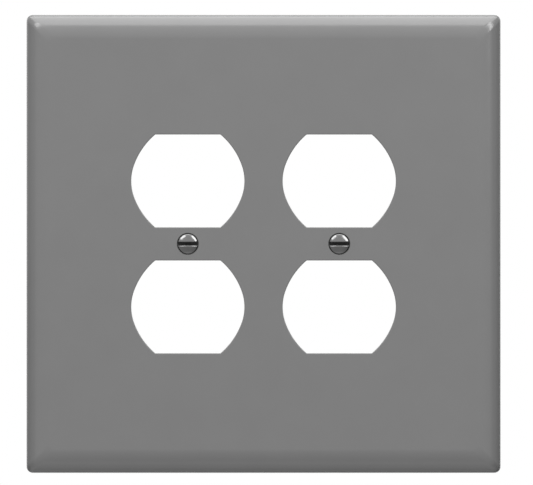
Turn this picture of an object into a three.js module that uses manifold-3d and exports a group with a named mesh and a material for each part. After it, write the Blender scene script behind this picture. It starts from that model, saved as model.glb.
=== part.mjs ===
// An oversize two-gang duplex receptacle wall plate with two captive oval-head screws.
// Millimetres. +X is right seen from the front, +Z is up, and the front faces -Y.
// The origin is the middle of the wall plane, which the plate's rear rim rests on.

import * as THREE from 'three';
import { mergeVertices } from 'three/addons/utils/BufferGeometryUtils.js';
import Module from 'manifold-3d';

// ---- Driving dimensions ----

// The moulded plate
const PLATE_WIDTH = 144.6;
const PLATE_HEIGHT = 139.7;
const PLATE_DEPTH = 6.0;
const CORNER_RADIUS = 1.9;      // of the outline, seen from the front
const SIDE_HEIGHT = 1.6;        // of the nearly upright side, up from the wall
const ROLL_WIDTH = 7.0;         // of the rolled edge, from the side to the flat face
const ROLL_START = THREE.MathUtils.degToRad(8); // where the side meets the roll's ellipse
const WALL_THICKNESS = 2.0;     // of the rim that rests on the wall
const WEB_THICKNESS = 2.3;      // of the flat face

// The pattern of openings and screws
const GANG_SPACING = 46.04;     // between device centres, and so between the screws
const OPENING_PITCH = 38.3;     // from the upper to the lower opening's centre
const OPENING_HALF_WIDTH = 17.2;
const OPENING_HALF_FLAT = 14.1; // from an opening's centre to its flat top or bottom
const SIDE_RADIUS = 14.2;       // of the middle of an opening's round sides
const SIDE_TURN = THREE.MathUtils.degToRad(20); // either way, where the flanks take over
const FLANK_RADIUS = 22.0;      // of the four flatter flanks that run to the flats

// Screw holes, bosses and ribs on the plate's back
const COUNTERSINK_SLOPE = Math.tan(THREE.MathUtils.degToRad(41)); // half of the 82 degree cone
const MOUTH_RADIUS = 3.3;
const HOLE_RADIUS = 2.15;
const BOSS_RADIUS = 4.5;
const BOSS_DRAFT = 0.2;
const BOSS_REAR = -2.2;         // y of the boss's rear face, in front of the wall plane
const RIB_THICKNESS = 1.2;
const RIB_HEIGHT = 1.4;         // behind the web
const RIB_OUTER_X = 45.5;       // of the upright ribs outside the openings
const RIB_OUTER_Z = 38.5;       // of the level ribs above and below the openings
const RIB_END = 2.3;            // from the outline to a rib's end, inside the rim wall
const LIP_WIDTH = 1.2;          // of the raised border round each opening
const LIP_HEIGHT = 0.9;         // behind the web
const ROOT = 0.3;               // how far ribs, lips and bosses run into the web

// 6-32 slotted oval-head screws
const HEAD_RADIUS = 3.05;
const HEAD_LAND = 0.15;         // straight edge of the head, below its dome
const DOME_HEIGHT = 0.85;
const SHANK_RADIUS = 1.7525;
const SCREW_LENGTH = 12.7;      // from the face to the tip
const TIP_CHAMFER = 0.5;
const SLOT_WIDTH = 1.0;
const SLOT_DEPTH = 1.35;        // from the top of the dome

// Captive washers
const RETAINER_RADIUS = 3.75;
const RETAINER_THICKNESS = 0.8;
const RETAINER_FRONT = 1.3;     // y of its front face, behind the wall plane
const RETAINER_CLEARANCE = 0.06; // between its bore and the screw
const RETAINER_CHAMFER = 0.1;

// Fineness and cutting allowance
const ARC_SEGMENTS = 12;        // along each rolled edge and corner
const OPENING_SEGMENTS = 8;     // along each arc of an opening
const ROUND_SEGMENTS = 48;
const OVERRUN = 1.0;            // how far a cutter passes the surface it cuts

const HALF_WIDTH = PLATE_WIDTH / 2;
const HALF_HEIGHT = PLATE_HEIGHT / 2;
const WEB_REAR = WEB_THICKNESS - PLATE_DEPTH;

// The roll is part of an ellipse that the side runs into without a crease.
const ROLL_LENGTH = ROLL_WIDTH / Math.cos(ROLL_START);
const ROLL_RISE = (PLATE_DEPTH - SIDE_HEIGHT) / (1 - Math.sin(ROLL_START));
const ROLL_Y = ROLL_RISE - PLATE_DEPTH;
const SIDE_DRAFT = (SIDE_HEIGHT * ROLL_LENGTH * Math.tan(ROLL_START)) / ROLL_RISE;

// ---- Solids: three.js geometries joined and cut with manifold-3d ----

const wasm = await Module();
wasm.setup();

// A closed three.js geometry as a solid, without the flat triangles that a lathe leaves on its axis.
function solidFrom(geometry) {
  const bare = geometry.clone();
  bare.deleteAttribute('normal');
  bare.deleteAttribute('uv');
  const merged = mergeVertices(bare, 1e-5);
  const corners = merged.index.array;
  const kept = [];
  for (let i = 0; i < corners.length; i += 3) {
    const [a, b, c] = corners.slice(i, i + 3);
    if (a !== b && b !== c && c !== a) {
      kept.push(a, b, c);
    }
  }
  const mesh = new wasm.Mesh({
    numProp: 3,
    vertProperties: merged.attributes.position.array,
    triVerts: new Uint32Array(kept),
  });
  return new wasm.Manifold(mesh);
}

function geometryFrom(solid) {
  const mesh = solid.getMesh();
  const geometry = new THREE.BufferGeometry();
  geometry.setAttribute('position', new THREE.BufferAttribute(mesh.vertProperties, 3));
  geometry.setIndex(new THREE.BufferAttribute(mesh.triVerts, 1));
  geometry.computeVertexNormals();
  return geometry;
}

// A shape in (x, y) extruded along Z, centred on z = 0.
function extrudeAlongZ(shape, length, curveSegments) {
  const geometry = new THREE.ExtrudeGeometry(shape, { depth: length, bevelEnabled: false, curveSegments });
  return geometry.translate(0, 0, -length / 2);
}

// A shape in (z, y) extruded along X, centred on x = 0.
function extrudeAlongX(shape, length, curveSegments) {
  return extrudeAlongZ(shape, length, curveSegments).rotateY(-Math.PI / 2);
}

// A shape in (x, z), as seen from the front, extruded along Y from rearY forwards to frontY.
function extrudeAlongY(shape, rearY, frontY, curveSegments) {
  const depth = rearY - frontY;
  const geometry = new THREE.ExtrudeGeometry(shape, { depth, bevelEnabled: false, curveSegments });
  return geometry.rotateX(Math.PI / 2).translate(0, rearY, 0);
}

// A profile of [radius, y] points, from front to back, turned about the Y axis.
function turned(profile) {
  const points = profile.map(([radius, y]) => new THREE.Vector2(radius, y));
  return new THREE.LatheGeometry(points, ROUND_SEGMENTS);
}

function box(width, depth, height, x, y, z) {
  return new THREE.BoxGeometry(width, depth, height).translate(x, y, z);
}

// ---- The plate ----

// The plate's section across one span: up the leaning sides and over the rolled edges.
// With a wall and a web it is the hollow behind them, run on past the wall plane.
function section(halfSpan, wall, web, rearY) {
  const foot = halfSpan - wall;
  const centre = halfSpan - SIDE_DRAFT - ROLL_WIDTH;
  const length = ROLL_LENGTH - wall;
  const rise = ROLL_RISE - web;
  const start = Math.asin((SIDE_HEIGHT + ROLL_Y) / rise);
  const shape = new THREE.Shape();
  shape.moveTo(-foot, rearY);
  shape.lineTo(-foot, 0);
  shape.absellipse(-centre, ROLL_Y, length, rise, Math.PI + start, 1.5 * Math.PI);
  shape.absellipse(centre, ROLL_Y, length, rise, 1.5 * Math.PI, 2 * Math.PI - start);
  shape.lineTo(foot, 0);
  shape.lineTo(foot, rearY);
  return shape;
}

// A rectangle with rounded corners, seen from the front.
function roundedOutline(halfWidth, halfHeight, radius) {
  const x = halfWidth - radius;
  const z = halfHeight - radius;
  const shape = new THREE.Shape();
  shape.absarc(x, z, radius, 0, 0.5 * Math.PI);
  shape.absarc(-x, z, radius, 0.5 * Math.PI, Math.PI);
  shape.absarc(-x, -z, radius, Math.PI, 1.5 * Math.PI);
  shape.absarc(x, -z, radius, 1.5 * Math.PI, 2 * Math.PI);
  return shape;
}

// The sections both ways, meeting in mitred corners, inside the rounded outline.
function rolledBlock(wall, web, rearY) {
  const across = extrudeAlongZ(section(HALF_WIDTH, wall, web, rearY), PLATE_HEIGHT, ARC_SEGMENTS);
  const upright = extrudeAlongX(section(HALF_HEIGHT, wall, web, rearY), PLATE_WIDTH, ARC_SEGMENTS);
  const outline = roundedOutline(HALF_WIDTH - wall, HALF_HEIGHT - wall, CORNER_RADIUS);
  const prism = extrudeAlongY(outline, rearY + OVERRUN, -PLATE_DEPTH - OVERRUN, ARC_SEGMENTS);
  return solidFrom(across).intersect(solidFrom(upright)).intersect(solidFrom(prism));
}

// The outline of one half of a duplex receptacle, grown by a margin all round: flat at its top
// and bottom, round at its sides, and flatter along its four flanks.
function openingOutline(centreX, centreZ, margin) {
  const sideX = OPENING_HALF_WIDTH - SIDE_RADIUS;
  const flankX = sideX - (FLANK_RADIUS - SIDE_RADIUS) * Math.cos(SIDE_TURN);
  const flankZ = (FLANK_RADIUS - SIDE_RADIUS) * Math.sin(SIDE_TURN);
  const side = SIDE_RADIUS + margin;
  const flank = FLANK_RADIUS + margin;
  const end = Math.asin((OPENING_HALF_FLAT + margin + flankZ) / flank);
  const shape = new THREE.Shape();
  shape.absarc(centreX + flankX, centreZ + flankZ, flank, -end, -SIDE_TURN);
  shape.absarc(centreX + sideX, centreZ, side, -SIDE_TURN, SIDE_TURN);
  shape.absarc(centreX + flankX, centreZ - flankZ, flank, SIDE_TURN, end);
  shape.absarc(centreX - flankX, centreZ - flankZ, flank, Math.PI - end, Math.PI - SIDE_TURN);
  shape.absarc(centreX - sideX, centreZ, side, Math.PI - SIDE_TURN, Math.PI + SIDE_TURN);
  shape.absarc(centreX - flankX, centreZ + flankZ, flank, Math.PI + SIDE_TURN, Math.PI + end);
  return shape;
}

function opening(x, z) {
  const outline = openingOutline(x, z, 0);
  return solidFrom(extrudeAlongY(outline, OVERRUN, -PLATE_DEPTH - OVERRUN, OPENING_SEGMENTS));
}

function lip(x, z) {
  const outline = openingOutline(x, z, LIP_WIDTH);
  return solidFrom(extrudeAlongY(outline, WEB_REAR + LIP_HEIGHT, WEB_REAR - ROOT, OPENING_SEGMENTS));
}

function ribs() {
  const depth = RIB_HEIGHT + ROOT;
  const y = WEB_REAR + RIB_HEIGHT - depth / 2;
  const length = PLATE_WIDTH - 2 * RIB_END;
  const rise = PLATE_HEIGHT - 2 * RIB_END;
  const bars = [];
  for (const x of [-RIB_OUTER_X, 0, RIB_OUTER_X]) {
    bars.push(box(RIB_THICKNESS, depth, rise, x, y, 0));
  }
  for (const z of [-RIB_OUTER_Z, 0, RIB_OUTER_Z]) {
    bars.push(box(length, depth, RIB_THICKNESS, 0, y, z));
  }
  return bars.map(solidFrom);
}

function boss(x) {
  const front = WEB_REAR - ROOT;
  const length = BOSS_REAR - front;
  const drum = new THREE.CylinderGeometry(BOSS_RADIUS, BOSS_RADIUS + BOSS_DRAFT, length, ROUND_SEGMENTS);
  return solidFrom(drum.translate(x, (BOSS_REAR + front) / 2, 0));
}

// The cone that the screw's head sits in, and the clearance hole behind it.
function screwHole(x) {
  const coneDepth = (MOUTH_RADIUS - HOLE_RADIUS) / COUNTERSINK_SLOPE;
  const profile = [
    [0, -PLATE_DEPTH - OVERRUN],
    [MOUTH_RADIUS + OVERRUN * COUNTERSINK_SLOPE, -PLATE_DEPTH - OVERRUN],
    [HOLE_RADIUS, coneDepth - PLATE_DEPTH],
    [HOLE_RADIUS, BOSS_REAR + OVERRUN],
    [0, BOSS_REAR + OVERRUN],
  ];
  return solidFrom(turned(profile).translate(x, 0, 0));
}

function wallPlate(gangCentres) {
  let plate = rolledBlock(0, 0, 0);
  plate = plate.subtract(rolledBlock(WALL_THICKNESS, WEB_THICKNESS, OVERRUN));
  for (const rib of ribs()) {
    plate = plate.add(rib);
  }
  for (const x of gangCentres) {
    plate = plate.add(boss(x));
    for (const z of [-OPENING_PITCH / 2, OPENING_PITCH / 2]) {
      plate = plate.add(lip(x, z)).subtract(opening(x, z));
    }
    plate = plate.subtract(screwHole(x));
  }
  return geometryFrom(plate);
}

// ---- The screws and their captive washers ----

// The domed head, its countersunk underside, the shank at thread size, and the driver slot.
// The thread itself is left out here: its crests are the shank's radius.
function screw() {
  const edge = -PLATE_DEPTH;
  const domeRadius = (HEAD_RADIUS ** 2 + DOME_HEIGHT ** 2) / (2 * DOME_HEIGHT);
  const domeSweep = Math.asin(HEAD_RADIUS / domeRadius);
  const profile = [];
  const domeSteps = 6;
  for (let step = 0; step <= domeSteps; step += 1) {
    const angle = (domeSweep * step) / domeSteps;
    const y = edge - DOME_HEIGHT + domeRadius * (1 - Math.cos(angle));
    profile.push([domeRadius * Math.sin(angle), y]);
  }
  const coneEnd = edge + HEAD_LAND + (HEAD_RADIUS - SHANK_RADIUS) / COUNTERSINK_SLOPE;
  const tip = edge + SCREW_LENGTH;
  profile.push([HEAD_RADIUS, edge + HEAD_LAND]);
  profile.push([SHANK_RADIUS, coneEnd]);
  profile.push([SHANK_RADIUS, tip - TIP_CHAMFER]);
  profile.push([SHANK_RADIUS - TIP_CHAMFER, tip]);
  profile.push([0, tip]);
  const slotDepth = SLOT_DEPTH + OVERRUN;
  const slotY = edge - DOME_HEIGHT + SLOT_DEPTH - slotDepth / 2;
  const slot = box(3 * HEAD_RADIUS, slotDepth, SLOT_WIDTH, 0, slotY, 0);
  return geometryFrom(solidFrom(turned(profile)).subtract(solidFrom(slot)));
}

function retainer() {
  const bore = SHANK_RADIUS + RETAINER_CLEARANCE;
  const rear = RETAINER_FRONT + RETAINER_THICKNESS;
  const profile = [
    [bore, RETAINER_FRONT],
    [RETAINER_RADIUS - RETAINER_CHAMFER, RETAINER_FRONT],
    [RETAINER_RADIUS, RETAINER_FRONT + RETAINER_CHAMFER],
    [RETAINER_RADIUS, rear - RETAINER_CHAMFER],
    [RETAINER_RADIUS - RETAINER_CHAMFER, rear],
    [bore, rear],
    [bore, RETAINER_FRONT],
  ];
  return geometryFrom(solidFrom(turned(profile)));
}

// ---- The assembly ----

function addPiece(group, name, geometry, material, x) {
  const mesh = new THREE.Mesh(geometry, material);
  mesh.name = name;
  mesh.position.x = x;
  group.add(mesh);
}

const greyPlastic = new THREE.MeshStandardMaterial({ color: 0x808080, roughness: 0.4, metalness: 0 });
const gangs = { left: -GANG_SPACING / 2, right: GANG_SPACING / 2 };
const group = new THREE.Group();

addPiece(group, 'wall_plate', wallPlate(Object.values(gangs)), greyPlastic, 0);
for (const [side, x] of Object.entries(gangs)) {
  const steel = new THREE.MeshStandardMaterial({ color: 0x7a7a7a, roughness: 0.3, metalness: 0.8 });
  const fibre = new THREE.MeshStandardMaterial({ color: 0xb9b3a4, roughness: 0.8, metalness: 0 });
  addPiece(group, `${side}_screw`, screw(), steel, x);
  addPiece(group, `${side}_retainer`, retainer(), fibre, x);
}

export default group;
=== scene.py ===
"""The looks of an oversize two-gang duplex receptacle wall plate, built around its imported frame.

Lengths are in metres and angles in degrees. The axes are the frame's: +X is right seen from the
front, +Y goes into the wall and +Z is up, so the front faces -Y.
"""

import math

import bmesh
import bpy
from mathutils import Matrix, Vector


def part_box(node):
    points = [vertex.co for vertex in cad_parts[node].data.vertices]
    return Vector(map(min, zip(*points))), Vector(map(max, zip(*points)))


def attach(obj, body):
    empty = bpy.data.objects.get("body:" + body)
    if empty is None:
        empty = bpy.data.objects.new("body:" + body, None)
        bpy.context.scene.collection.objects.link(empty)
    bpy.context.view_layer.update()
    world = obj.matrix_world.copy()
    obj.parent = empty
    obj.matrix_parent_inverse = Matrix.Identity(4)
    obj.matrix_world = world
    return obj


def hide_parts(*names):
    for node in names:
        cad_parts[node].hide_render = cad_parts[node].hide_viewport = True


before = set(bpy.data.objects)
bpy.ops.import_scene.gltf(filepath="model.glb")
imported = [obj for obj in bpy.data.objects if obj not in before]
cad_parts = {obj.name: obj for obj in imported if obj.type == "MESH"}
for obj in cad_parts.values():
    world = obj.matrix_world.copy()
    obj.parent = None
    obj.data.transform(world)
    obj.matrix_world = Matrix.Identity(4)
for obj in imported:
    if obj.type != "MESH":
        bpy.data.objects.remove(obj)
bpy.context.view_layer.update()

MM = 0.001

# ---- Driving dimensions ----

# What the frame says
PLATE_LOW, PLATE_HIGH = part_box("wall_plate")
HALF_WIDTH = PLATE_HIGH.x
HALF_HEIGHT = PLATE_HIGH.z
FRONT = PLATE_LOW.y
SCREW_LOW, SCREW_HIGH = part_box("right_screw")
GANG_X = (SCREW_LOW.x + SCREW_HIGH.x) / 2
HEAD_RADIUS = (SCREW_HIGH.z - SCREW_LOW.z) / 2
SCREW_TIP = SCREW_HIGH.y
WASHER_LOW, WASHER_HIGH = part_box("right_retainer")
WASHER_RADIUS = (WASHER_HIGH.z - WASHER_LOW.z) / 2

# The plate's shell. Insets are from its outline, seen from the front.
CORNER_RADIUS = 1.9 * MM
SIDE_HEIGHT = 1.6 * MM
ROLL_WIDTH = 7.0 * MM
ROLL_START = 8                  # angle on the roll's ellipse where the side meets it
WALL_THICKNESS = 2.0 * MM
WEB_THICKNESS = 2.3 * MM
RIM_EDGE = 0.12 * MM            # rounding of the rim that rests on the wall

# The openings, and the raised border behind each
OPENING_PITCH = 38.3 * MM
OPENING_HALF_WIDTH = 17.2 * MM
OPENING_HALF_FLAT = 14.1 * MM   # from its centre to its flat top or bottom
SIDE_RADIUS = 14.2 * MM         # of the middle of its round sides
SIDE_TURN = 20                  # angle either way, where the flanks take over
FLANK_RADIUS = 22.0 * MM
OPENING_CORNER = 0.3 * MM       # where the flanks meet the flat top and bottom
OPENING_EDGE = 0.25 * MM        # rounding of the front edge
OPENING_DRAFT = 0.04 * MM       # how much wider the opening is at the web's rear face
BORDER_WIDTH = 1.2 * MM
BORDER_HEIGHT = 0.9 * MM

# The screw holes and their bosses
CONE_HALF_ANGLE = 41
MOUTH_RADIUS = 3.3 * MM
MOUTH_EDGE = 0.12 * MM
HOLE_RADIUS = 2.15 * MM
BOSS_RADIUS = 4.5 * MM
BOSS_HEIGHT = 1.5 * MM

# What borders, bosses and ribs share behind the web
STEP = 0.04 * MM                # a border's or boss's bore is this much wider than the web's
ROOT = 0.3 * MM                 # how far they run into the web
FOOT = 0.25 * MM                # rounding at their foot
FOOT_TURN = 265                 # angle on that rounding where it comes out of the web
CREST = 0.18 * MM               # rounding of their rear edges

# The ribs
RIB_THICKNESS = 1.2 * MM
RIB_DRAFT = 0.04 * MM
RIB_HEIGHT = 1.4 * MM
RIB_OUTER_X = 45.5 * MM
RIB_OUTER_Z = 38.5 * MM
RIB_END = 2.3 * MM              # from the outline to a rib's end, inside the rim wall
RIB_TO_SCREW = 3.3 * MM         # from a screw's axis to a rib's end, inside the boss

# Marks that the mould's ejector pins leave on the web's rear face
PIN_RADIUS = 2.0 * MM
PIN_DEPTH = 0.08 * MM
PIN_COLUMNS = (-58 * MM, -GANG_X, GANG_X, 58 * MM)
PIN_ROWS = (-52 * MM, 52 * MM)

# The oval-head screws
DOME_HEIGHT = 0.85 * MM
HEAD_EDGE = 0.4 * MM            # rounding from the dome to the rim
HEAD_LAND = 0.15 * MM           # from the plate's face to the cone under the rim
SLOT_WIDTH = 0.94 * MM
SLOT_DEPTH = 1.35 * MM          # from the top of the dome
SLOT_EDGE = 0.3 * MM            # rounding of its edges
SLOT_TURN = 262                 # angle on that rounding where it meets the dome
SLOT_RISE = SLOT_EDGE / 5       # how far the slot's cutter clears the dome beside the rounding
SHANK_RADIUS = 1.7525 * MM
THREAD_PITCH = 0.794 * MM
THREAD_DEPTH = 0.48 * MM
THREAD_RUN_OUT = 0.9 * MM       # from the head to the full depth of the thread
TIP_CHAMFER = 0.5 * MM
# One turn of the thread: (share of the pitch, share of the depth)
THREAD_FORM = ((0.0, 0.0), (0.125, 0.0), (0.45, 0.92), (0.5625, 1.0), (0.675, 0.92))

# The captive washers
WASHER_CLEARANCE = 0.06 * MM
WASHER_EDGE = 0.2 * MM

# How finely round shapes are made, and what keeps flat faces flat
ROLL_STEPS = 26
CORNER_STEPS = 12
OPENING_STEPS = 16
EDGE_STEPS = 5
ROUND_STEPS = 72
SLOT_STATIONS = 32
SUPPORT = 0.06 * MM             # width of the flat band beside a rounded edge
OVERRUN = 1.0 * MM              # how far a cutter passes the surface that it cuts
MERGE = 1e-8
CREASE = 28                     # faces that meet at more than this are shaded with a crease

# Worked out from the above
WEB_REAR = FRONT + WEB_THICKNESS
ROLL_LENGTH = ROLL_WIDTH / math.cos(math.radians(ROLL_START))
ROLL_RISE = (-FRONT - SIDE_HEIGHT) / (1 - math.sin(math.radians(ROLL_START)))
ROLL_Y = FRONT + ROLL_RISE
SIDE_DRAFT = SIDE_HEIGHT * ROLL_LENGTH * math.tan(math.radians(ROLL_START)) / ROLL_RISE
ROLL_END = SIDE_DRAFT + ROLL_WIDTH
CONE_SLOPE = math.tan(math.radians(CONE_HALF_ANGLE))
HEAD_TOP = FRONT - DOME_HEIGHT
DOME_RADIUS = (HEAD_RADIUS ** 2 + DOME_HEIGHT ** 2) / (2 * DOME_HEIGHT)


# ---- Outlines and sections ----

def arc(centre, radius, start, end, steps):
    """Points on an arc round a centre, from one angle to another."""
    points = []
    for step in range(steps + 1):
        angle = math.radians(start + (end - start) * step / steps)
        points.append((centre[0] + radius * math.cos(angle), centre[1] + radius * math.sin(angle)))
    return points


def plate_outline(inset):
    """The plate's outline moved inwards. Its corners keep their radius, so the roll is mitred."""
    x = HALF_WIDTH - inset - CORNER_RADIUS
    z = HALF_HEIGHT - inset - CORNER_RADIUS
    points = []
    for turn, (side, level) in enumerate(((1, 1), (-1, 1), (-1, -1), (1, -1))):
        start = 90 * turn
        points += arc((side * x, level * z), CORNER_RADIUS, start, start + 90, CORNER_STEPS)
    return points


def opening_outline(grow):
    """One half of a duplex receptacle's outline, grown by a margin all round.

    It is flat at its top and bottom, round at its sides and flatter along its four flanks."""
    side_x = OPENING_HALF_WIDTH - SIDE_RADIUS
    turn = math.radians(SIDE_TURN)
    flank_x = side_x - (FLANK_RADIUS - SIDE_RADIUS) * math.cos(turn)
    flank_z = -(FLANK_RADIUS - SIDE_RADIUS) * math.sin(turn)
    corner_z = OPENING_HALF_FLAT - OPENING_CORNER
    reach = math.sqrt((FLANK_RADIUS - OPENING_CORNER) ** 2 - (corner_z - flank_z) ** 2)
    corner_turn = math.degrees(math.atan2(corner_z - flank_z, reach))
    quarter = arc((side_x, 0), SIDE_RADIUS + grow, 0, SIDE_TURN, OPENING_STEPS)
    quarter += arc((flank_x, flank_z), FLANK_RADIUS + grow, SIDE_TURN, corner_turn, OPENING_STEPS)[1:]
    quarter += arc((flank_x + reach, corner_z), OPENING_CORNER + grow, corner_turn, 90, EDGE_STEPS)[1:]
    upper = quarter + [(-x, z) for x, z in reversed(quarter)]
    return upper + [(x, -z) for x, z in reversed(upper[1:-1])]


def circle_outline(radius):
    return arc((0, 0), radius, 0, 360, ROUND_STEPS)[:-1]


def roll(length, rise, start, end):
    """(inset, y) along a rolled edge's ellipse, between two angles on it."""
    ellipse = arc((0, 0), 1, start, end, ROLL_STEPS)
    return [(ROLL_END - length * across, ROLL_Y - rise * up) for across, up in ellipse]


def shell_section():
    """(inset, y) from the web's rear face over the hollow, the rim and the side to the flat face."""
    inner_rise = ROLL_RISE - WEB_THICKNESS
    inner_start = math.degrees(math.asin((SIDE_HEIGHT + ROLL_Y) / inner_rise))
    section = [(ROLL_END + SUPPORT, WEB_REAR)]
    section += roll(ROLL_LENGTH - WALL_THICKNESS, inner_rise, 90, inner_start)
    section += arc((WALL_THICKNESS - RIM_EDGE, -RIM_EDGE), RIM_EDGE, 0, 90, EDGE_STEPS)
    section += arc((RIM_EDGE, -RIM_EDGE), RIM_EDGE, 90, 180, EDGE_STEPS)
    section += roll(ROLL_LENGTH, ROLL_RISE, ROLL_START, 90)
    section.append((ROLL_END + SUPPORT, FRONT))
    return section


def opening_section():
    """(grow, y) from the web's rear face to the rounded front edge."""
    section = [(OPENING_DRAFT, WEB_REAR)]
    section += arc((OPENING_EDGE, FRONT + OPENING_EDGE), OPENING_EDGE, 180, 270, EDGE_STEPS)
    section.append((OPENING_EDGE + SUPPORT, FRONT))
    return section


def screw_hole_section():
    """(radius, y) from the web's rear face, through the bore and the cone, to the mouth."""
    tangent = MOUTH_EDGE / math.tan(math.radians(90 + CONE_HALF_ANGLE) / 2)
    mouth = (MOUTH_RADIUS + tangent, FRONT + MOUTH_EDGE)
    section = [(HOLE_RADIUS, WEB_REAR)]
    section.append((HOLE_RADIUS, FRONT + (MOUTH_RADIUS - HOLE_RADIUS) / CONE_SLOPE))
    section += arc(mouth, MOUTH_EDGE, 180 + CONE_HALF_ANGLE, 270, EDGE_STEPS)
    section.append((mouth[0] + SUPPORT, FRONT))
    return section


def pin_mark_section():
    """(radius, y) from the web's rear face down to the floor of an ejector pin's mark."""
    return [
        (PIN_RADIUS + SUPPORT, WEB_REAR),
        (PIN_RADIUS, WEB_REAR),
        (PIN_RADIUS - PIN_DEPTH / 2, WEB_REAR - PIN_DEPTH),
    ]


def collar_section(inner, outer, height):
    """A closed section of (distance, y) for what stands on the web round an opening or a bore."""
    rear = WEB_REAR + height
    section = [(outer + FOOT, WEB_REAR - ROOT)]
    section += arc((outer + FOOT, WEB_REAR + FOOT), FOOT, FOOT_TURN, 180, EDGE_STEPS)
    section += arc((outer - CREST, rear - CREST), CREST, 0, 90, EDGE_STEPS)
    section += arc((inner + CREST, rear - CREST), CREST, 90, 180, EDGE_STEPS)
    section.append((inner, WEB_REAR - ROOT))
    return section


def rib_section():
    """(across, y) of a rib: flared at its foot, narrower and rounded at its rear."""
    half = RIB_THICKNESS / 2
    top = half - RIB_DRAFT
    rear = WEB_REAR + RIB_HEIGHT
    side = [(half + FOOT, WEB_REAR - ROOT)]
    side += arc((half + FOOT, WEB_REAR + FOOT), FOOT, FOOT_TURN, 180, EDGE_STEPS)
    side += arc((top - CREST, rear - CREST), CREST, 0, 90, EDGE_STEPS)
    return side + [(-across, y) for across, y in reversed(side)]


# ---- Mesh work ----

def add_ring(mesh, outline, y, centre=(0, 0)):
    return [mesh.verts.new((centre[0] + x, y, centre[1] + z)) for x, z in outline]


def add_band(mesh, first, second):
    """Faces between two rings of as many points."""
    for i in range(len(first)):
        j = (i + 1) % len(first)
        mesh.faces.new((first[i], first[j], second[j], second[i]))


def add_surface(mesh, outline, section, centre=(0, 0), closed=False):
    """Sweeps a section along an outline, and gives back its first and last ring."""
    rings = [add_ring(mesh, outline(across), y, centre) for across, y in section]
    for first, second in zip(rings, rings[1:]):
        add_band(mesh, first, second)
    if closed:
        add_band(mesh, rings[-1], rings[0])
    return rings[0], rings[-1]


def fill_flat(mesh, rings):
    """Flat faces inside the first ring and outside the others."""
    edges = []
    for ring in rings:
        for i, vertex in enumerate(ring):
            edges.append(mesh.edges.get((ring[i - 1], vertex)))
    bmesh.ops.triangle_fill(mesh, use_beauty=True, edges=edges)


def add_bar(mesh, section, start, end, point):
    """A closed bar of a constant section. point(along, across, y) places each of its corners."""
    first = [mesh.verts.new(point(start, across, y)) for across, y in section]
    second = [mesh.verts.new(point(end, across, y)) for across, y in section]
    add_band(mesh, first, second)
    mesh.faces.new(first)
    mesh.faces.new(second)


def object_from(mesh, name):
    """Closes the mesh's seams, turns its faces outwards and makes it an object."""
    bmesh.ops.remove_doubles(mesh, verts=mesh.verts[:], dist=MERGE)
    bmesh.ops.dissolve_degenerate(mesh, edges=mesh.edges[:], dist=MERGE)
    bmesh.ops.recalc_face_normals(mesh, faces=mesh.faces[:])
    data = bpy.data.meshes.new(name)
    mesh.to_mesh(data)
    mesh.free()
    piece = bpy.data.objects.new(name, data)
    bpy.context.scene.collection.objects.link(piece)
    return piece


def apply_modifiers(piece):
    before = piece.data
    graph = bpy.context.evaluated_depsgraph_get()
    piece.data = bpy.data.meshes.new_from_object(piece.evaluated_get(graph))
    piece.modifiers.clear()
    bpy.data.meshes.remove(before)
    piece.data.name = piece.name


def combine(piece, other, operation):
    """Joins another closed object to a piece, or cuts it out, and removes the other object."""
    modifier = piece.modifiers.new("combine", "BOOLEAN")
    modifier.object = other
    modifier.operation = operation
    modifier.solver = "MANIFOLD"
    apply_modifiers(piece)
    bpy.data.objects.remove(other)


def finish_surface(piece, material):
    """Smooth shading with creases at real edges, and flat faces that stay flat."""
    piece.data.shade_smooth()
    piece.data.set_sharp_from_angle(angle=math.radians(CREASE))
    modifier = piece.modifiers.new("normals", "WEIGHTED_NORMAL")
    modifier.mode = "FACE_AREA"
    modifier.keep_sharp = True
    apply_modifiers(piece)
    piece.data.materials.clear()
    piece.data.materials.append(material)


# ---- The plate ----

def opening_centres():
    return [(x, z) for x in (-GANG_X, GANG_X) for z in (-OPENING_PITCH / 2, OPENING_PITCH / 2)]


def plate_body():
    """The shell with its openings, screw holes and pin marks, before anything stands on the web."""
    mesh = bmesh.new()
    rear_ring, front_ring = add_surface(mesh, plate_outline, shell_section())
    rear_rings = [rear_ring]
    front_rings = [front_ring]
    holes = [(opening_outline, opening_section(), centre) for centre in opening_centres()]
    holes += [(circle_outline, screw_hole_section(), (x, 0)) for x in (-GANG_X, GANG_X)]
    for outline, section, centre in holes:
        rear_ring, front_ring = add_surface(mesh, outline, section, centre)
        rear_rings.append(rear_ring)
        front_rings.append(front_ring)
    for x in PIN_COLUMNS:
        for z in PIN_ROWS:
            rear_ring, floor_ring = add_surface(mesh, circle_outline, pin_mark_section(), (x, z))
            rear_rings.append(rear_ring)
            mesh.faces.new(floor_ring)
    fill_flat(mesh, rear_rings)
    fill_flat(mesh, front_rings)
    return object_from(mesh, "grey_wall_plate")


def borders():
    mesh = bmesh.new()
    section = collar_section(OPENING_DRAFT + STEP, BORDER_WIDTH, BORDER_HEIGHT)
    for centre in opening_centres():
        add_surface(mesh, opening_outline, section, centre, closed=True)
    return object_from(mesh, "borders")


def bosses():
    mesh = bmesh.new()
    section = collar_section(HOLE_RADIUS + STEP, BOSS_RADIUS, BOSS_HEIGHT)
    for x in (-GANG_X, GANG_X):
        add_surface(mesh, circle_outline, section, (x, 0), closed=True)
    return object_from(mesh, "bosses")


def upright_ribs():
    mesh = bmesh.new()
    reach = HALF_HEIGHT - RIB_END
    for x in (-RIB_OUTER_X, 0, RIB_OUTER_X):
        add_bar(mesh, rib_section(), -reach, reach, lambda along, across, y: (x + across, y, along))
    return object_from(mesh, "upright_ribs")


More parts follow.
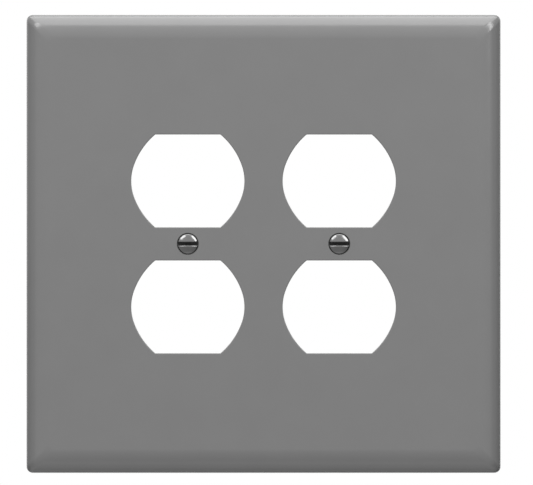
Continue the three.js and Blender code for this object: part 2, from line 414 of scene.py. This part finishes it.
def level_ribs():
    """Two ribs right across, and one in three lengths that end in the bosses."""
    mesh = bmesh.new()
    reach = HALF_WIDTH - RIB_END
    inner = GANG_X - RIB_TO_SCREW
    outer = GANG_X + RIB_TO_SCREW
    bars = [(-RIB_OUTER_Z, -reach, reach), (RIB_OUTER_Z, -reach, reach)]
    bars += [(0, -reach, -outer), (0, -inner, inner), (0, outer, reach)]
    for z, start, end in bars:
        add_bar(mesh, rib_section(), start, end, lambda along, across, y: (along, y, z + across))
    return object_from(mesh, "level_ribs")


def wall_plate(material):
    plate = plate_body()
    for addition in (borders(), bosses(), upright_ribs(), level_ribs()):
        combine(plate, addition, "UNION")
    finish_surface(plate, material)
    return plate


# ---- The screws ----

def head_section():
    """(radius, y) of the dome, its rounded rim and the cone under it.

    The rounding stops where it meets the cone, which stays clear of the countersink."""
    centre_y = HEAD_TOP + DOME_RADIUS
    rim_angle = math.degrees(math.asin((HEAD_RADIUS - HEAD_EDGE) / (DOME_RADIUS - HEAD_EDGE)))
    rim_y = centre_y - (DOME_RADIUS - HEAD_EDGE) * math.cos(math.radians(rim_angle))
    rim = (HEAD_RADIUS - HEAD_EDGE, rim_y)
    section = arc((0, centre_y), DOME_RADIUS, -90, rim_angle - 90, 4 * EDGE_STEPS)[:-1]
    cone = math.radians(CONE_HALF_ANGLE)
    reach = HEAD_EDGE * math.cos(cone) + (FRONT + HEAD_LAND - rim_y) * math.sin(cone)
    rim_end = CONE_HALF_ANGLE - math.degrees(math.acos(reach / HEAD_EDGE))
    section += arc(rim, HEAD_EDGE, rim_angle - 90, rim_end, 2 * EDGE_STEPS)
    radius, y = section[-1]
    section.append((SHANK_RADIUS, y + (radius - SHANK_RADIUS) / CONE_SLOPE))
    return section


def thread_point(turns, depth, start_y):
    """(radius, y) at so many turns along the thread, held between the head and the tip."""
    y = min(max(start_y + turns * THREAD_PITCH, start_y), SCREW_TIP)
    run_in = min((y - start_y) / THREAD_RUN_OUT, 1)
    radius = SHANK_RADIUS - depth * THREAD_DEPTH * run_in * run_in * (3 - 2 * run_in)
    return min(radius, SHANK_RADIUS - TIP_CHAMFER + SCREW_TIP - y), y


def screw_rows():
    """Rows of (radius, y) down the screw, each with a point for every column round its axis.

    A row of the thread climbs by one pitch in its turn, so its last column meets the first
    column of the row one turn further on."""
    columns = range(ROUND_STEPS + 1)
    head = head_section()
    start_y = head[-1][1]
    rows = [[point for _ in columns] for point in head]
    turns = math.ceil((SCREW_TIP - start_y) / THREAD_PITCH) + 1
    for turn in range(-1, turns):
        for phase, depth in THREAD_FORM:
            along = turn + phase
            rows.append([thread_point(along + i / ROUND_STEPS, depth, start_y) for i in columns])
    rows.append([(0, SCREW_TIP) for _ in columns])
    return rows


def screw_body():
    """The head and the threaded shank, about the Y axis."""
    mesh = bmesh.new()
    grid = []
    for row in screw_rows():
        line = []
        for i, (radius, y) in enumerate(row):
            angle = 2 * math.pi * (i % ROUND_STEPS) / ROUND_STEPS
            line.append(mesh.verts.new((radius * math.sin(angle), y, radius * math.cos(angle))))
        grid.append(line)
    for upper, lower in zip(grid, grid[1:]):
        for i in range(ROUND_STEPS):
            mesh.faces.new((upper[i], upper[i + 1], lower[i + 1], lower[i]))
    return object_from(mesh, "screw_body")


def dome_y(x, z):
    """The head's surface at a place on it, seen from the front."""
    squared = min(x * x + z * z, HEAD_RADIUS ** 2)
    return HEAD_TOP + DOME_RADIUS - math.sqrt(DOME_RADIUS ** 2 - squared)


def slot_section(x):
    """The driver slot's section (z, y) at one place along it, with its edges rounded to the dome."""
    half = SLOT_WIDTH / 2
    corner = SLOT_EDGE / 2
    floor = HEAD_TOP + SLOT_DEPTH
    edge_z = half + SLOT_EDGE
    edge_y = dome_y(x, edge_z)
    side = arc((half - corner, floor - corner), corner, 90, 0, EDGE_STEPS)
    side += arc((edge_z, edge_y + SLOT_EDGE), SLOT_EDGE, 180, SLOT_TURN, EDGE_STEPS)
    side.append((edge_z + SLOT_EDGE, edge_y - SLOT_RISE))
    side.append((edge_z + SLOT_EDGE, HEAD_TOP - OVERRUN))
    return side + [(-z, y) for z, y in reversed(side)]


def slot_cutter():
    mesh = bmesh.new()
    reach = HEAD_RADIUS + SLOT_EDGE
    rings = []
    for station in range(SLOT_STATIONS + 1):
        x = reach * (2 * station / SLOT_STATIONS - 1)
        rings.append([mesh.verts.new((x, y, z)) for z, y in slot_section(x)])
    for first, second in zip(rings, rings[1:]):
        add_band(mesh, first, second)
    mesh.faces.new(rings[0])
    mesh.faces.new(rings[-1])
    return object_from(mesh, "slot_cutter")


def paint_shade_in_slot(screw, material):
    """Gives the driver slot's floor and walls a near-black material: painted shade in the slot."""
    screw.data.materials.append(material)
    inside = SLOT_WIDTH / 2 + MERGE
    floor = HEAD_TOP + SLOT_DEPTH + MERGE
    for face in screw.data.polygons:
        corners = [screw.data.vertices[i].co for i in face.vertices]
        if all(abs(corner.z) <= inside and corner.y <= floor for corner in corners):
            face.material_index = 1


def screw_at(name, x, plating, shaded_slot):
    screw = screw_body()
    screw.name = name
    combine(screw, slot_cutter(), "DIFFERENCE")
    finish_surface(screw, plating)
    # the slot's floor and walls get painted shade
    paint_shade_in_slot(screw, shaded_slot)
    screw.data.transform(Matrix.Translation((x, 0, 0)))
    return screw


# ---- The captive washers ----

def washer_at(name, x, material):
    """A flat moulded ring with rounded edges."""
    mesh = bmesh.new()
    bore = SHANK_RADIUS + WASHER_CLEARANCE
    front = WASHER_LOW.y
    rear = WASHER_HIGH.y
    section = arc((WASHER_RADIUS - WASHER_EDGE, front + WASHER_EDGE), WASHER_EDGE, -90, 0, EDGE_STEPS)
    section += arc((WASHER_RADIUS - WASHER_EDGE, rear - WASHER_EDGE), WASHER_EDGE, 0, 90, EDGE_STEPS)
    section += arc((bore + WASHER_EDGE, rear - WASHER_EDGE), WASHER_EDGE, 90, 180, EDGE_STEPS)
    section += arc((bore + WASHER_EDGE, front + WASHER_EDGE), WASHER_EDGE, 180, 270, EDGE_STEPS)
    add_surface(mesh, circle_outline, section, (x, 0), closed=True)
    washer = object_from(mesh, name)
    finish_surface(washer, material)
    return washer


# ---- Materials ----

NOISE_LOW = 0.3                 # nearly all of a noise value lies from here
NOISE_HIGH = 0.7                # to here
COUNTERSINK_SHADE = 0.85                    # how much of the colour at a countersink's mouth is painted shade
# the colour of the painted shade in the countersinks
COUNTERSINK_SHADE_COLOUR = (0.03, 0.03, 0.03)


def new_material(name):
    """A node material, its Principled shader and a noise input in the object's own metres."""
    material = bpy.data.materials.new(name)
    material.use_nodes = True
    nodes = material.node_tree.nodes
    place = nodes.new("ShaderNodeTexCoord").outputs["Object"]
    return material, nodes["Principled BSDF"], place


def noise(material, place, cells_per_metre, detail=2.0):
    """A noise value with so many cells in a metre."""
    tree = material.node_tree
    node = tree.nodes.new("ShaderNodeTexNoise")
    node.inputs["Scale"].default_value = cells_per_metre
    node.inputs["Detail"].default_value = detail
    tree.links.new(place, node.inputs["Vector"])
    return node.outputs["Fac"]


def ranged(material, value, low, high):
    """A noise value stretched over a range."""
    tree = material.node_tree
    node = tree.nodes.new("ShaderNodeMapRange")
    node.inputs["From Min"].default_value = NOISE_LOW
    node.inputs["From Max"].default_value = NOISE_HIGH
    node.inputs["To Min"].default_value = low
    node.inputs["To Max"].default_value = high
    tree.links.new(value, node.inputs["Value"])
    return node.outputs["Result"]


def set_colour(material, shader, value, dark, light):
    """The base colour between two shades, chosen by a noise value."""
    tree = material.node_tree
    node = tree.nodes.new("ShaderNodeMix")
    node.data_type = "RGBA"
    node.inputs["A"].default_value = (*dark, 1)
    node.inputs["B"].default_value = (*light, 1)
    tree.links.new(ranged(material, value, 0, 1), node.inputs["Factor"])
    tree.links.new(node.outputs["Result"], shader.inputs["Base Color"])


def set_roughness(material, shader, value, low, high):
    """The roughness between two values, chosen by a noise value."""
    roughness = ranged(material, value, low, high)
    material.node_tree.links.new(roughness, shader.inputs["Roughness"])


def add_bump(material, shader, height, strength, distance):
    tree = material.node_tree
    node = tree.nodes.new("ShaderNodeBump")
    node.inputs["Strength"].default_value = strength
    node.inputs["Distance"].default_value = distance
    tree.links.new(height, node.inputs["Height"])
    tree.links.new(node.outputs["Normal"], shader.inputs["Normal"])


def off_axis(material, place):
    """The distance from the nearer screw's axis."""
    tree = material.node_tree
    mirror = tree.nodes.new("ShaderNodeVectorMath")
    mirror.operation = "ABSOLUTE"
    tree.links.new(place, mirror.inputs[0])
    flat = tree.nodes.new("ShaderNodeVectorMath")
    flat.operation = "MULTIPLY"
    flat.inputs[1].default_value = (1, 0, 1)
    tree.links.new(mirror.outputs["Vector"], flat.inputs[0])
    distance = tree.nodes.new("ShaderNodeVectorMath")
    distance.operation = "DISTANCE"
    distance.inputs[1].default_value = (GANG_X, 0, 0)
    tree.links.new(flat.outputs["Vector"], distance.inputs[0])
    return distance.outputs["Value"]


def paint_countersink_shade(material, shader, place):
    """Darkens the plastic in the countersinks up to their mouths: painted shade for the dark gap round
    each screw's head.
    """
    tree = material.node_tree
    plain = shader.inputs["Base Color"].links[0].from_socket
    edge = tree.nodes.new("ShaderNodeMapRange")
    edge.inputs["From Min"].default_value = MOUTH_RADIUS
    edge.inputs["From Max"].default_value = MOUTH_RADIUS + MOUTH_EDGE
    edge.inputs["To Min"].default_value = COUNTERSINK_SHADE
    edge.inputs["To Max"].default_value = 0
    tree.links.new(off_axis(material, place), edge.inputs["Value"])
    mix = tree.nodes.new("ShaderNodeMix")
    mix.data_type = "RGBA"
    mix.inputs["B"].default_value = (*COUNTERSINK_SHADE_COLOUR, 1)
    tree.links.new(edge.outputs["Result"], mix.inputs["Factor"])
    tree.links.new(plain, mix.inputs["A"])
    tree.links.new(mix.outputs["Result"], shader.inputs["Base Color"])


def plate_plastic():
    """Grey moulded plastic: satin, with a faint mottle and a fine moulded texture."""
    material, shader, place = new_material("grey_moulded_plastic")
    mottle = noise(material, place, cells_per_metre=90)
    patches = noise(material, place, cells_per_metre=160)
    texture = noise(material, place, cells_per_metre=700, detail=3)
    set_colour(material, shader, mottle, dark=(0.182,) * 3, light=(0.188,) * 3)
    # painted shade in the gap round each screw's head
    paint_countersink_shade(material, shader, place)
    set_roughness(material, shader, patches, low=0.2, high=0.24)
    shader.inputs["IOR"].default_value = 1.6
    shader.inputs["Specular IOR Level"].default_value = 0.85
    add_bump(material, shader, texture, strength=0.12, distance=0.02 * MM)
    return material


def screw_metal():
    """Dark nickel plating over cold-formed steel."""
    material, shader, place = new_material("dark_nickel")
    shader.inputs["Metallic"].default_value = 1
    mottle = noise(material, place, cells_per_metre=700)
    patches = noise(material, place, cells_per_metre=1500)
    texture = noise(material, place, cells_per_metre=5000, detail=3)
    set_colour(material, shader, mottle, dark=(0.225,) * 3, light=(0.245,) * 3)
    set_roughness(material, shader, patches, low=0.14, high=0.18)
    add_bump(material, shader, texture, strength=0.15, distance=0.01 * MM)
    return material


def slot_shade_material():
    """Near-black metal for the driver slot: painted shade standing in for the slot's shadow."""
    material, shader, place = new_material("painted_slot_shade")
    shader.inputs["Metallic"].default_value = 1
    mottle = noise(material, place, cells_per_metre=3000)
    patches = noise(material, place, cells_per_metre=2500)
    set_colour(material, shader, mottle, dark=(0.03,) * 3, light=(0.05,) * 3)
    set_roughness(material, shader, patches, low=0.45, high=0.6)
    return material


def washer_nylon():
    """Undyed nylon, slightly warm and waxy."""
    material, shader, place = new_material("natural_nylon")
    mottle = noise(material, place, cells_per_metre=500)
    patches = noise(material, place, cells_per_metre=900)
    texture = noise(material, place, cells_per_metre=4000, detail=3)
    set_colour(material, shader, mottle, dark=(0.57, 0.53, 0.45), light=(0.62, 0.59, 0.52))
    set_roughness(material, shader, patches, low=0.48, high=0.6)
    add_bump(material, shader, texture, strength=0.2, distance=0.02 * MM)
    return material


# ---- Camera, light and floor ----

CAMERA_DISTANCE = 1.46          # from the plate's face
VIEW_WIDTH = 162.0 * MM         # at the plate's face
CAMERA_SENSOR = 36 * MM
CAMERA_X = 0.9 * MM
CAMERA_Z = 0.42 * MM

# The room's radiance all round, the least that the changes below leave of it, and the changes:
# (direction, cosine where the change starts, cosine where it is whole, change)
ROOM_LEVEL = 0.22
ROOM_LEAST = 0.08
ROOM_CHANGES = (
    ((0, 0, 1), -0.15, 0.15, 0.44),
    ((0, -1, 0), 0.38, 0.5, 0.22),
    ((1, 0.3, 0), 0.0, 0.8, -0.12),
    ((-1, 0.3, 0), 0.0, 0.8, 0.05),
    ((0, 0.2, -1), 0.5, 0.9, 0.36),
    ((0, 1, 0), -0.1, 0.3, -0.17),
    ((0, 1, 0), 0.9, 0.97, 0.6),
)

FLOOR_RADIUS = 2.6
FLOOR_Z = -0.32
FADE_START = 0.9                # where the floor starts to fade, from its middle
FADE_END = 2.5


def add_camera():
    data = bpy.data.cameras.new("camera")
    data.sensor_width = CAMERA_SENSOR / MM
    data.lens = CAMERA_SENSOR / VIEW_WIDTH * CAMERA_DISTANCE / MM
    camera = bpy.data.objects.new("camera", data)
    camera.location = (CAMERA_X, FRONT - CAMERA_DISTANCE, CAMERA_Z)
    camera.rotation_euler = (math.radians(90), 0, 0)
    bpy.context.scene.collection.objects.link(camera)
    bpy.context.scene.camera = camera


def softbox(name, off_axis, roll, distance, across, along, radiance):
    """A lamp of a given radiance, aimed at the plate from an angle off its front's axis.

    The roll is measured round that axis from +X towards +Z. The lamp is so many degrees wide
    across the axis's direction, and so many along it."""
    data = bpy.data.lights.new(name, "AREA")
    data.shape = "RECTANGLE"
    data.size = 2 * distance * math.tan(math.radians(across / 2))
    data.size_y = 2 * distance * math.tan(math.radians(along / 2))
    data.energy = radiance * math.pi * data.size * data.size_y
    axis = Vector((0, -1, 0))
    side = Vector((math.cos(math.radians(roll)), 0, math.sin(math.radians(roll))))
    away = axis * math.cos(math.radians(off_axis)) + side * math.sin(math.radians(off_axis))
    outwards = side * math.cos(math.radians(off_axis)) - axis * math.sin(math.radians(off_axis))
    lamp = bpy.data.objects.new(name, data)
    lamp.location = away * distance
    lamp.rotation_euler = Matrix((outwards.cross(away), outwards, away)).transposed().to_euler()
    lamp.visible_camera = False
    bpy.context.scene.collection.objects.link(lamp)


def add_lights():
    """One lamp above the plate, and two for the bright arcs on the screws' heads and the corners."""
    softbox("left_softbox", off_axis=53, roll=128, distance=1.6, across=30, along=14, radiance=3.4)
    softbox("right_softbox", off_axis=53, roll=39, distance=1.6, across=42, along=15, radiance=3.8)
    softbox("top_softbox", off_axis=96, roll=90, distance=1.4, across=76, along=80, radiance=1.65)


def lobe(tree, towards, start, end, change):
    """How much the room's light changes towards a direction, from one cosine to another."""
    place = tree.nodes.new("ShaderNodeTexCoord")
    cosine = tree.nodes.new("ShaderNodeVectorMath")
    cosine.operation = "DOT_PRODUCT"
    cosine.inputs[1].default_value = Vector(towards).normalized()
    tree.links.new(place.outputs["Generated"], cosine.inputs[0])
    step = tree.nodes.new("ShaderNodeMapRange")
    step.interpolation_type = "SMOOTHSTEP"
    step.inputs["From Min"].default_value = start
    step.inputs["From Max"].default_value = end
    step.inputs["To Min"].default_value = 0
    step.inputs["To Max"].default_value = change
    tree.links.new(cosine.outputs["Value"], step.inputs["Value"])
    return step.outputs["Result"]


def room_light(tree):
    """The room's radiance by direction."""
    total = None
    for towards, start, end, change in ROOM_CHANGES:
        add = tree.nodes.new("ShaderNodeMath")
        add.operation = "ADD"
        add.inputs[1].default_value = ROOM_LEVEL
        if total is not None:
            tree.links.new(total, add.inputs[1])
        tree.links.new(lobe(tree, towards, start, end, change), add.inputs[0])
        total = add.outputs[0]
    least = tree.nodes.new("ShaderNodeMath")
    least.operation = "MAXIMUM"
    least.inputs[1].default_value = ROOM_LEAST
    tree.links.new(total, least.inputs[0])
    return least.outputs[0]


def add_world():
    """A soft room round the plate. The camera itself sees a white backdrop."""
    world = bpy.data.worlds.new("studio")
    world.use_nodes = True
    bpy.context.scene.world = world
    tree = world.node_tree
    room = tree.nodes["Background"]
    room.inputs["Color"].default_value = (1, 1, 1, 1)
    tree.links.new(room_light(tree), room.inputs["Strength"])
    backdrop = tree.nodes.new("ShaderNodeBackground")
    backdrop.inputs["Color"].default_value = (1, 1, 1, 1)
    chosen = tree.nodes.new("ShaderNodeMixShader")
    rays = tree.nodes.new("ShaderNodeLightPath")
    tree.links.new(rays.outputs["Is Camera Ray"], chosen.inputs[0])
    tree.links.new(room.outputs[0], chosen.inputs[1])
    tree.links.new(backdrop.outputs[0], chosen.inputs[2])
    tree.links.new(chosen.outputs[0], tree.nodes["World Output"].inputs["Surface"])


def add_floor():
    """A pale disc under the plate that fades out towards its edge."""
    mesh = bmesh.new()
    bmesh.ops.create_circle(mesh, cap_ends=True, radius=FLOOR_RADIUS, segments=96)
    data = bpy.data.meshes.new("floor")
    mesh.to_mesh(data)
    mesh.free()
    floor = bpy.data.objects.new("floor", data)
    floor.location.z = FLOOR_Z
    floor.visible_diffuse = False
    floor.visible_glossy = False
    bpy.context.scene.collection.objects.link(floor)
    material, shader, place = new_material("pale_floor")
    shader.inputs["Base Color"].default_value = (0.6, 0.6, 0.6, 1)
    shader.inputs["Roughness"].default_value = 0.8
    tree = material.node_tree
    distance = tree.nodes.new("ShaderNodeVectorMath")
    distance.operation = "LENGTH"
    tree.links.new(place, distance.inputs[0])
    fade = tree.nodes.new("ShaderNodeMapRange")
    fade.interpolation_type = "SMOOTHSTEP"
    fade.inputs["From Min"].default_value = FADE_START
    fade.inputs["From Max"].default_value = FADE_END
    fade.inputs["To Min"].default_value = 1
    fade.inputs["To Max"].default_value = 0
    tree.links.new(distance.outputs["Value"], fade.inputs["Value"])
    tree.links.new(fade.outputs["Result"], shader.inputs["Alpha"])
    data.materials.append(material)


# ---- The whole scene ----

def add_piece(piece, body, node):
    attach(piece, body)
    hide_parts(node)


bpy.context.scene.view_settings.view_transform = "Standard"
add_camera()
add_lights()
add_world()
add_floor()

add_piece(wall_plate(plate_plastic()), "wall_plate", "wall_plate")
metal = screw_metal()
# near-black metal for the slots: painted shade
shaded_slot = slot_shade_material()
nylon = washer_nylon()
for side, x in (("left", -GANG_X), ("right", GANG_X)):
    screw = screw_at(f"{side}_oval_head_screw", x, metal, shaded_slot)
    add_piece(screw, f"{side}_screw", f"{side}_screw")
    washer = washer_at(f"{side}_captive_washer", x, nylon)
    add_piece(washer, f"{side}_retainer", f"{side}_retainer")
